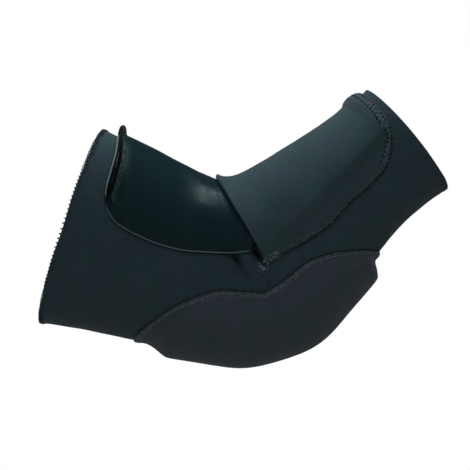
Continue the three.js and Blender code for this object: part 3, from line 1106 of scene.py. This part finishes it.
    def build(self, finish: bpy.types.Material, seam_thread: bpy.types.Material,
              thread: bpy.types.Material) -> None:
        """Make and dress everything of the two tubes.

        Args:
            finish: The cloth.
            seam_thread: Thread of the elbow seam.
            thread: Thread of the overlocked cuff.
        """
        upper, forearm = self.upper(), self.forearm()
        for piece, node in ((upper, "upper_sleeve"), (forearm, "forearm_sleeve")):
            dress(piece, finish)
            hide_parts(node)
        dress(self.elbow_stitches(), seam_thread)
        dress(self.overlock(), thread)
        dress(self.cuff_lint(), seam_thread)


def lip_rise(radius: float, angle: float, edge: float, distance: Array) -> Array:
    """Rise of a flared lip at a distance from its end.

    Args:
        radius: Radius of its bend, in millimetres.
        angle: Degrees that it turns through.
        edge: Straight length past the bend.
        distance: Distance from the end, along the sleeve.

    Returns:
        The rise, zero where the lip hasn't started.
    """
    turn = math.radians(angle)
    curve = radius * math.sin(turn)
    into = np.clip(curve + edge * math.cos(turn) - np.maximum(distance, 0.0), 0.0, None)
    bent = radius - np.sqrt(np.maximum(radius ** 2 - np.minimum(into, curve) ** 2, 0.0))
    return bent + np.maximum(into - curve, 0.0) * math.tan(turn)


@dataclass
class Stay:
    """The rigid trough in front of the elbow, with its two lips."""

    thickness: float = 2.4
    clearance: float = 0.6
    end: float = 0.912
    upper_lip: tuple[float, float, float] = (7.0, 65.0, 2.4)
    lower_lip: tuple[float, float, float] = (8.0, 28.0, 1.2)
    start: Curve = field(default_factory=lambda: Curve([
        (0, -0.925), (24, -0.900), (40, -0.869), (51, -0.855), (64, -0.844)]))
    sides: Curve = field(default_factory=lambda: Curve([
        (0.000, 64), (0.006, 69), (0.017, 73.8), (0.033, 76.8), (0.064, 80.6), (0.101, 82.4), (0.155, 83.6),
        (0.225, 84.5), (0.295, 84.2), (0.367, 82.2), (0.440, 81.1), (0.503, 81), (0.536, 80.8), (0.549, 76.8),
        (0.660, 76), (0.820, 72), (0.940, 66), (0.985, 56), (1.000, 44)]))
    lip_fade: tuple[float, float] = (64.0, 18.0)
    low_left: float = 0.35
    low_fading: tuple[float, float] = (14.0, 40.0)
    thin_lip: float = 0.64
    thin_from: tuple[float, float] = (6.0, 22.0)
    thin_reach: float = 6.0
    length: float = 190.0
    upper_share: float = 0.87
    crowding: float = 0.72
    tuck: float = 0.530
    tuck_fade: float = 0.010
    # Where the painted edge highlight is left off: the top of the upper edge, and a margin in millimetres.
    highlight_free_top: tuple[float, float] = (16.0, 12.0)
    highlight_skip_mm: float = 3.0

    def lift(self, at: Array, around: Array) -> Array:
        """Height of the inner face over the sleeve.

        Args:
            at: Place along the arm, from -1 to 1.
            around: Place round the arm, in degrees.

        Returns:
            Height in millimetres.
        """
        side = np.abs(around)
        upper = lip_rise(*self.upper_lip, (at - self.start(side)) * FORM.upper_run)
        lower = lip_rise(*self.lower_lip, (self.end - at) * FORM.forearm_run)
        fade = 1 - smooth((side - self.lip_fade[0]) / self.lip_fade[1])
        return self.clearance + FORM.seat(at, around) + upper * fade + lower * self.low_fade(around)

    def low_fade(self, around: Array) -> Array:
        """How much of the lower lip is left at a side."""
        return mix(1.0, self.low_left, smooth((np.abs(around) - self.low_fading[0]) / self.low_fading[1]))

    def inner(self, u: Array, t: Array) -> Array:
        """Place on the inner face.

        Args:
            u: Place across the piece, from -1 to 1.
            t: Place along the piece, from -1 to 1.

        Returns:
            Point in space, in millimetres.
        """
        share = self.rows((t + 1) / 2)
        around = u * self.sides(share)
        at = mix(self.start(np.abs(around)), self.end, share)
        return FORM.lifted(at, around, self.lift(at, around))

    def rows(self, t: Array) -> Array:
        """Crowd the rows towards both ends, where the lips bend."""
        return mix(t, (1 - np.cos(np.pi * t)) / 2, self.crowding)

    def outer(self, u: Array, t: Array) -> Array:
        """Place on the outer face, thinner towards the sides of the flared lip.

        Args:
            u: Place across the piece, from -1 to 1.
            t: Place along the piece, from -1 to 1.

        Returns:
            Point in space, in millimetres.
        """
        share = self.rows((t + 1) / 2)
        near = 1 - smooth(share * self.length / self.thin_reach)
        side = smooth((np.abs(u) * self.sides(share) - self.thin_from[0]) / self.thin_from[1])
        wall = self.thickness * (1 - self.thin_lip * near * side)
        return self.inner(u, t) + normals(self.inner, u, t, FACE_STEP, FACE_STEP) * wall[..., None]

    def from_edge(self, u: Array, t: Array) -> Array:
        """Distance from the nearest edge, which sets where the painted highlight runs along it.

        Args:
            u: Place across the piece, from -1 to 1.
            t: Place along the piece, from -1 to 1.

        Returns:
            Distance in millimetres; the rim's top and its tucked sides count as far.
        """
        share = self.rows((t + 1) / 2)
        side = self.sides(share)
        end = np.minimum(share, 1 - share) * (FORM.forearm_run * self.end + FORM.upper_run * self.upper_share)
        top = 1 - smooth((np.abs(u) * side - self.highlight_free_top[0]) / self.highlight_free_top[1])
        tucked = smooth((share - self.tuck) / self.tuck_fade)
        return np.minimum(end + self.highlight_skip_mm * top, in_from_side(side, u) + self.highlight_skip_mm * tucked)

    def build(self, finish: bpy.types.Material) -> None:
        """Make and dress the stay.

        Args:
            finish: The plastic.
        """
        piece = Shell("stay_shell", self.outer, self.inner, 120, 190, span=(150.0, 210.0), edge_round=0.75,
                      from_edge=self.from_edge).build()
        dress(piece, finish)
        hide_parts("stay")


@dataclass
class Pocket:
    """The panel on the forearm that holds the stay's lower half."""

    stay: Stay
    thickness: float = 2.6
    edge: float = 1.4
    under: float = 0.25
    ripple: float = 0.16
    shoulder: float = 7.0
    slope: float = 7.0
    room: float = 0.8
    margin: float = 1.6
    stay_corner: float = 0.94
    middle_length: float = 0.95
    tip_length: float = 0.85
    tip_from: float = 0.84
    stitch: float = 3.2
    sides: Curve = field(default_factory=lambda: Curve([
        (0.000, 92), (0.040, 90.5), (0.115, 90.2), (0.158, 90.7), (0.215, 91.8), (0.337, 94.6), (0.400, 95.6),
        (0.573, 95.3), (0.687, 95.7), (0.779, 94.7), (0.823, 92.9), (0.871, 89.8), (0.932, 81.9),
        (0.978, 71.7), (1.000, 64)]))
    start: Curve = field(default_factory=lambda: Curve([
        (0, 0.020), (15, 0.030), (30, 0.062), (45, 0.092), (64, 0.120), (76, 0.128), (85, 0.132),
        (92, 0.124)]))
    end: Curve = field(default_factory=lambda: Curve([
        (0, 0.974), (13, 0.971), (32, 0.965), (43, 0.962), (56, 0.954), (64, 0.945)]))

    def spot(self, u: Array, t: Array) -> tuple[Array, Array]:
        """Place (at, around) of a point of the panel.

        Args:
            u: Place across the piece, from -1 to 1.
            t: Place along the piece, from -1 to 1.

        Returns:
            The place (at, around).
        """
        share = (t + 1) / 2
        around = u * self.sides(share)
        side = np.abs(around)
        return mix(self.start(side), self.end(side), share), around

    def lift(self, at: Array, around: Array) -> Array:
        """Height of the inner face: over the stay, and down to the sleeve past it.

        Args:
            at: Place along the arm, from -1 to 1.
            around: Place round the arm, in degrees.

        Returns:
            Height over the sleeve, in millimetres.
        """
        side = np.abs(around)
        stay = self.stay
        limb = sum(mix(elbow, cuff, at) for elbow, cuff in zip(FORM.elbow, FORM.forearm_cuff)) / 4
        past_end = (at - stay.end) * FORM.forearm_run - self.margin
        share = (at - stay.start(side)) / (stay.end - stay.start(side))
        past_side = np.radians(side - stay.sides(np.minimum(share, self.stay_corner))) * limb - self.margin
        cover = 1 - smooth(np.maximum(np.maximum(past_end, past_side), 0.0) / self.slope)
        back = stay.thickness * math.sin(math.radians(stay.lower_lip[1])) + stay.clearance
        lip = lip_rise(*stay.lower_lip, (stay.end - at) * FORM.forearm_run - back) * stay.low_fade(around)
        top = stay.thickness + self.room + lip
        return self.under + FORM.seat(at, around) + cover * (top + stay.clearance - self.under)

    def inner(self, u: Array, t: Array) -> Array:
        """Place on the inner face."""
        at, around = self.spot(u, t)
        return FORM.lifted(at, around, self.lift(at, around))

    def wall(self, u: Array, t: Array) -> Array:
        """Thickness at a place: thin where it is sewn down, with soft ripples.

        Args:
            u: Place across the piece, from -1 to 1.
            t: Place along the piece, from -1 to 1.

        Returns:
            Thickness in millimetres.
        """
        share = (t + 1) / 2
        from_end = (1 - share) * FORM.forearm_run * self.middle_length
        inside = np.minimum(in_from_side(self.sides(share), u), from_end)
        ease = 1 - (1 - np.clip(inside / self.shoulder, 0, 1)) ** 2
        ripple = self.ripple * waver(FORM.surface(*self.spot(u, t)), 34.0, 9.0) * ease
        return mix(self.edge, self.thickness, ease) + ripple

    def outer(self, u: Array, t: Array) -> Array:
        """Place on the outer face."""
        normal = normals(self.inner, u, t, FACE_STEP, FACE_STEP)
        return self.inner(u, t) + normal * self.wall(u, t)[..., None]

    def edge_path(self, inset: float, lift: float, first: float, last: float, turn: int) -> Path:
        """A stretch of one long edge.

        Args:
            inset: Distance in from the edge, in millimetres.
            lift: Height over the panel.
            first: Share of the panel's length where it starts.
            last: Share of the panel's length where it ends.
            turn: 1 for the side towards -Y, -1 for the other.

        Returns:
            The stretch, from the mouth towards the tip.
        """
        share = np.linspace(first, last, 90)
        return Path.on_face(self.outer, self.reach(share, inset) * turn, 2 * share - 1, lift)

    def reach(self, share: Array, inset: float) -> Array:
        """The u of a line at a distance in from the long edges."""
        return 1 - turn_of(inset) / self.sides(share)

    def tip_path(self, inset: float, lift: float) -> Path:
        """The edge round the tip, from one long edge to the other.

        Args:
            inset: Distance in from the edge, in millimetres.
            lift: Height over the panel.

        Returns:
            The line.
        """
        up = np.linspace(self.tip_from, 1 - inset / (FORM.forearm_run * self.tip_length), 40)
        side = self.reach(up, inset)
        across = np.linspace(side[-1], 0.0, 40)[1:]
        u = np.r_[side, across]
        share = np.r_[up, np.full(across.shape, up[-1])]
        return Path.on_face(self.outer, np.r_[u, -u[-2::-1]], 2 * np.r_[share, share[-2::-1]] - 1, lift)

    def tip_stitches(self) -> tuple[bpy.types.Object, bpy.types.Object]:
        """Zigzag round the tip, and near-black stubs that paint shade in its needle holes.

        Returns:
            The thread and the painted hole shadows.
        """
        tip = self.tip_path(2.7, 0.15)
        thread = ThreadRun("pocket_zigzag", 0.24)
        thread.zigzag(tip, 3.3, self.stitch, arch=0.3, sink=0.4, ragged=0.35)
        thread.lint(tip, 4.0, 0.5, 1.2)
        hole_shadows = ThreadRun("pocket_needle_hole_shadows", 0.46)
        for offset in (-2.2, 2.2):
            hole_shadows.hole_shadows(tip, offset, self.stitch)
        return thread.build(), hole_shadows.build()

    def side_stitches(self) -> tuple[bpy.types.Object, bpy.types.Object]:
        """A near-black cord along the two long edges, painting the shadow of the sunken seam, and the lint on
        it.

        Returns:
            The painted shadow line and the lint.
        """
        line, lint = ThreadRun("pocket_side_seam_shadow", 0.34), ThreadRun("pocket_side_lint", 0.14)
        stretch = (0.015, self.tip_from + 0.02)
        for turn in (1, -1):
            # Near-black cord: painted shadow of the seam's step.
            line.cord(self.edge_path(0.5, -0.1, *stretch, turn), 0.22)
            band = self.edge_path(1.8, 0.1, *stretch, turn)
            lint.zigzag(band, 2.6, 2.9, ragged=0.7)
            lint.lint(band, 4.2, 1.4, 1.6)
        return line.build(), lint.build()

    def bar_tack(self) -> bpy.types.Object:
        """Whip stitches where the mouth's corner meets the elbow seam.

        Returns:
            The thread.
        """
        run = ThreadRun("pocket_bar_tack", 0.15)
        for turn in (1, -1):
            low = Path.on_sleeve(np.array([0.090, 0.100, 0.108, 0.121]),
                                 np.array([89.4, 91.4, 93.2, 91.4]) * turn, 0.8)
            run.lint(low, 4.2, 4.0, 1.2, 0.4)
            corner = self.edge_path(1.6, 0.25, 0.0, 0.09, turn)
            run.lint(corner, 4.4, 3.2, 1.2, 0.4)
        return run.build()

    def build(self, finish: bpy.types.Material, looks: dict[str, bpy.types.Material]) -> None:
        """Make and dress the pocket.

        Args:
            finish: The panel's cloth.
            looks: The threads' materials, by name.
        """
        piece = Shell("pocket_panel", self.outer, self.inner, 150, 130, span=(150.0, 134.0),
                      edge_round=0.55).build()
        dress(piece, finish)
        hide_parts("stay_pocket")
        tip, hole_shadows = self.tip_stitches()
        line, lint = self.side_stitches()
        # The needle-hole stubs and the sunken side line take the near-black thread that paints shade.
        for thread, look in ((tip, "grey"), (hole_shadows, "painted_shadow"), (line, "painted_shadow"), (lint, "lint"),
                             (self.bar_tack(), "pale")):
            dress(thread, looks[look])


@dataclass
class ElbowPad:
    """The padded leaf over the point of the elbow."""

    thickness: float = 8.5
    edge: float = 1.1
    band: float = 4.2
    flat_share: float = 0.8
    shoulder: float = 12.0
    shoulder_power: float = 2.2
    swell: float = 0.2
    under: float = 0.1
    length: float = 130.0
    first: float = -0.490
    last: float = 0.558
    sides: Curve = field(default_factory=lambda: Curve([
        (0.000, 20), (0.012, 28), (0.030, 36), (0.060, 44.6), (0.117, 56.3), (0.180, 65.3), (0.225, 69.7),
        (0.309, 76.3), (0.343, 77.8), (0.403, 78.5), (0.456, 77.7), (0.500, 76.6), (0.534, 74), (0.565, 75.2),
        (0.634, 76.7), (0.698, 77.7), (0.744, 76.9), (0.784, 74), (0.858, 65), (0.928, 50.5), (0.963, 39.6),
        (0.988, 28.5), (1.000, 20)]))
    fullness: Curve = field(default_factory=lambda: Curve([
        (0.000, 0.00), (0.045, 0.00), (0.075, 0.19), (0.130, 0.85), (0.155, 0.91), (0.245, 0.79),
        (0.306, 0.81), (0.404, 0.96), (0.507, 0.89), (0.604, 1.02), (0.645, 0.99), (0.743, 0.81),
        (0.797, 0.82), (0.853, 0.90), (0.891, 0.99), (0.910, 0.98), (0.937, 0.53), (0.961, 0.03),
        (1.000, 0.00)]))

    def spot(self, u: Array, t: Array) -> tuple[Array, Array]:
        """Place (at, around) of a point of the pad."""
        share = (t + 1) / 2
        return mix(self.first, self.last, share), 180.0 + u * self.sides(share)

    def inner(self, u: Array, t: Array) -> Array:
        """Place on the inner face."""
        at, around = self.spot(u, t)
        return FORM.lifted(at, around, self.under + FORM.seat(at, around))

    def wall(self, u: Array, t: Array) -> Array:
        """Thickness at a place: a flat sewn band, then a soft rise to the full pad.

        Args:
            u: Place across the piece, from -1 to 1.
            t: Place along the piece, from -1 to 1.

        Returns:
            Thickness in millimetres.
        """
        share = (t + 1) / 2
        past_band = in_from_side(self.sides(share), u) - self.band * self.flat_share
        rise = 1 - (1 - np.clip(past_band / self.shoulder, 0, 1)) ** self.shoulder_power
        swell = self.swell * waver(FORM.surface(*self.spot(u, t)), 52.0, 5.0)
        full = (self.thickness - self.edge + swell) * np.maximum(self.fullness(share), 0.0)
        return self.edge + full * rise

    def outer(self, u: Array, t: Array) -> Array:
        """Place on the outer face."""
        at, around = self.spot(u, t)
        return FORM.lifted(at, around, self.under + FORM.seat(at, around) + self.wall(u, t))

    def border(self, inset: float, lift: float) -> Path:
        """The whole sewn edge, as one closed line at a height over the sleeve.

        Args:
            inset: Distance in from the edge, in millimetres.
            lift: Height over the sleeve.

        Returns:
            The line.
        """
        share = np.linspace(0.0, 1.0, 120)
        half = self.sides(share) - turn_of(inset)
        shift = inset / self.length
        at = mix(self.first + shift, self.last - shift, share)
        tip = np.linspace(half[-1], -half[-1], 14)[1:-1]
        heel = np.linspace(-half[0], half[0], 14)[1:-1]
        around = 180.0 + np.r_[half, tip, -half[::-1], heel, half[0]]
        places = np.r_[at, np.full(12, at[-1]), at[::-1], np.full(12, at[0]), at[0]]
        return Path.on_sleeve(places, around, lift + FORM.seat(places, around))

    def stitches(self) -> list[bpy.types.Object]:
        """A near-black cord at the edge that paints the shadow of its sunken seam, a fuzzy line beside it and
        sparse teeth below that.

        Returns:
            The painted shadow line, and the other stitches.
        """
        top = self.under + self.edge
        line, fuzz = ThreadRun("pad_edge_shadow_line", 0.30), ThreadRun("pad_flat_seam", 0.14)
        # Near-black cord: painted shadow along the pad's sewn edge.
        line.cord(self.border(-0.1, 0.45), 0.18)
        beside = self.border(1.5, top + 0.1)
        fuzz.zigzag(beside, 1.3, 1.7, arch=0.2, sink=0.3, ragged=0.8)
        fuzz.lint(beside, 2.6, 1.2, 1.3)
        fuzz.zigzag(self.border(2.9, top + 0.1), 2.6, 4.6, arch=0.2, sink=0.5, ragged=0.8)
        return [line.build(), fuzz.build()]

    def from_edge(self, u: Array, t: Array) -> Array:
        """Distance from the nearest edge, in millimetres."""
        share = (t + 1) / 2
        return np.minimum(np.minimum(share, 1 - share) * self.length, in_from_side(self.sides(share), u))

    def cushion(self) -> bpy.types.Object:
        """The pad itself, swollen by its foam.

        Returns:
            The pad.
        """
        piece = Shell("pad_cushion", self.outer, self.inner, 72, 116, span=(130.0, 180.0), edge_round=0.0,
                      from_edge=self.from_edge).build()
        marks = {name: np.array([row.value for row in piece.data.attributes[name].data])
                 for name in ("inward", "edge_mm")}
        Stuffing().settle(piece, (marks["inward"] > 0.5) | (marks["edge_mm"] < self.band))
        round_edges(piece, 0.45)
        subdivision = piece.modifiers.new("smooth cover", "SUBSURF")
        subdivision.levels = subdivision.render_levels = 1
        return piece

    def build(self, finish: bpy.types.Material, looks: dict[str, bpy.types.Material]) -> None:
        """Make and dress the pad.

        Args:
            finish: The pad's cloth.
            looks: The threads' materials, by name.
        """
        piece = self.cushion()
        dress(piece, finish)
        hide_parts("elbow_pad")
        # The edge line takes the near-black thread that paints shade.
        for thread, look in zip(self.stitches(), ("painted_shadow", "felt")):
            dress(thread, looks[look])


@dataclass
class Studio:
    """Pale ground, soft lights and the camera."""

    distance: float = 0.8
    aim: tuple[float, float] = (-0.0024, 0.0298)
    field_width: float = 0.3102
    sensor: float = 36.0
    ground: float = -0.22
    fill: float = 0.06

    def camera(self) -> None:
        """Look along +Y, square to the plane in which the arm bends."""
        data = bpy.data.cameras.new("camera")
        data.sensor_width = self.sensor
        data.lens = self.sensor * self.distance / self.field_width
        data.clip_start, data.clip_end = 0.01, 50.0
        camera = bpy.data.objects.new("camera", data)
        camera.location = (self.aim[0], -self.distance, self.aim[1])
        camera.rotation_euler = (math.pi / 2, 0.0, 0.0)
        bpy.context.scene.collection.objects.link(camera)
        bpy.context.scene.camera = camera

    @staticmethod
    def light(name: str, at: tuple[float, float, float], size: tuple[float, float], power: float,
              mirrored: bool = True) -> bpy.types.AreaLight:
        """Add a soft box that faces the brace.

        Args:
            name: What to call it.
            at: Where it stands, in metres.
            size: Its width and height.
            power: Its power, in watts.
            mirrored: Whether glossy surfaces show it.

        Returns:
            The light itself.
        """
        data = bpy.data.lights.new(name, "AREA")
        data.shape = "RECTANGLE"
        data.size, data.size_y = size
        data.energy = power
        lamp = bpy.data.objects.new(name, data)
        lamp.location = at
        lamp.rotation_euler = (-Vector(at)).to_track_quat("-Z", "Y").to_euler()
        lamp.visible_glossy = mirrored
        bpy.context.scene.collection.objects.link(lamp)
        return data

    def backdrop(self) -> None:
        """A wide pale floor."""
        bm = bmesh.new()
        bmesh.ops.create_circle(bm, cap_ends=True, segments=96, radius=40.0)
        bmesh.ops.translate(bm, verts=bm.verts, vec=(0.0, 0.0, self.ground))
        floor = as_object(bm, "floor")
        nodes = Nodes("pale_ground")
        nodes.shade(Base_Color=colour(0.35, 0.35, 0.35), Roughness=0.9, Specular_IOR_Level=0.0)
        rays = nodes.add("LightPath")
        glow = nodes.add("Emission", {"Color": colour(1.0, 1.0, 1.0), "Strength": 1.0})
        both = nodes.add("MixShader", {0: rays.outputs["Is Camera Ray"], 1: nodes.shader.outputs[0],
                                       2: glow.outputs[0]})
        nodes.tree.links.new(both.outputs[0], nodes.tree.nodes["Material Output"].inputs["Surface"])
        floor.data.materials.append(nodes.material)

    def world(self) -> None:
        """White behind the brace, and a low even light from all round."""
        world = bpy.data.worlds.new("studio")
        world.use_nodes = True
        bpy.context.scene.world = world
        tree = world.node_tree
        back = tree.nodes["Background"]
        back.inputs["Color"].default_value = colour(1.0, 1.0, 1.0)
        rays = tree.nodes.new("ShaderNodeLightPath")
        level = tree.nodes.new("ShaderNodeMapRange")
        level.inputs["To Min"].default_value = self.fill
        level.inputs["To Max"].default_value = 1.0
        tree.links.new(rays.outputs["Is Camera Ray"], level.inputs["Value"])
        tree.links.new(level.outputs["Result"], back.inputs["Strength"])

    def build(self) -> None:
        """Set up everything round the brace."""
        self.camera()
        self.backdrop()
        self.world()
        self.light("overhead", (-0.12, 0.12, 0.95), (0.50, 0.40), 20.0, mirrored=False)
        self.light("window", (0.26, 0.00, 0.96), (0.62, 0.11), 1.2).color = (0.80, 0.97, 1.0)
        self.light("side", (0.85, 0.38, 0.35), (1.00, 0.12), 0.45)
        self.light("front", (0.05, -1.35, 0.72), (1.2, 1.2), 17.5, mirrored=False)
        bpy.context.scene.view_settings.view_transform = "Standard"


def main() -> None:
    """Build the brace and its studio, and report each piece."""
    logging.basicConfig(level=logging.INFO, format="%(name)s: %(message)s")
    Studio().build()
    neoprene = KnitFinish("neoprene_knit", (0.0080, 0.0150, 0.0185), (0.0170, 0.0290, 0.0345))
    panel = KnitFinish("pocket_knit", (0.0092, 0.0168, 0.0198), (0.0188, 0.0315, 0.0365))
    felt = KnitFinish("pad_felt", (0.0142, 0.0193, 0.0242), (0.0246, 0.0326, 0.0394), pitch=1.1, relief=0.3,
                      nap=1.2, sheen=0.08)
    # The near-black thread paints shade: in needle holes and along sunken seam lines.
    threads = {
        name: ThreadFinish(f"{name}_thread", base).build()
        for name, base in (("grey", (0.060, 0.074, 0.080)), ("dull", (0.028, 0.041, 0.044)),
                           ("painted_shadow", (0.0015, 0.0020, 0.0024)), ("pale", (0.118, 0.136, 0.158)),
                           ("felt", (0.086, 0.099, 0.114)), ("lint", (0.045, 0.062, 0.060)),
                           ("dark", (0.022, 0.031, 0.034)))
    }
    neoprene_look = neoprene.build()
    Sleeves().build(neoprene_look, threads["dull"], threads["dark"])
    stay = Stay()
    stay.build(GlossFinish().build())
    Pocket(stay).build(panel.build(), threads)
    ElbowPad().build(felt.build(), threads)
    for piece in bpy.context.scene.objects:
        if piece.type == "MESH":
            LOG.info("%s: %d faces", piece.name, len(piece.data.polygons))


if __name__ == "__main__":
    main()
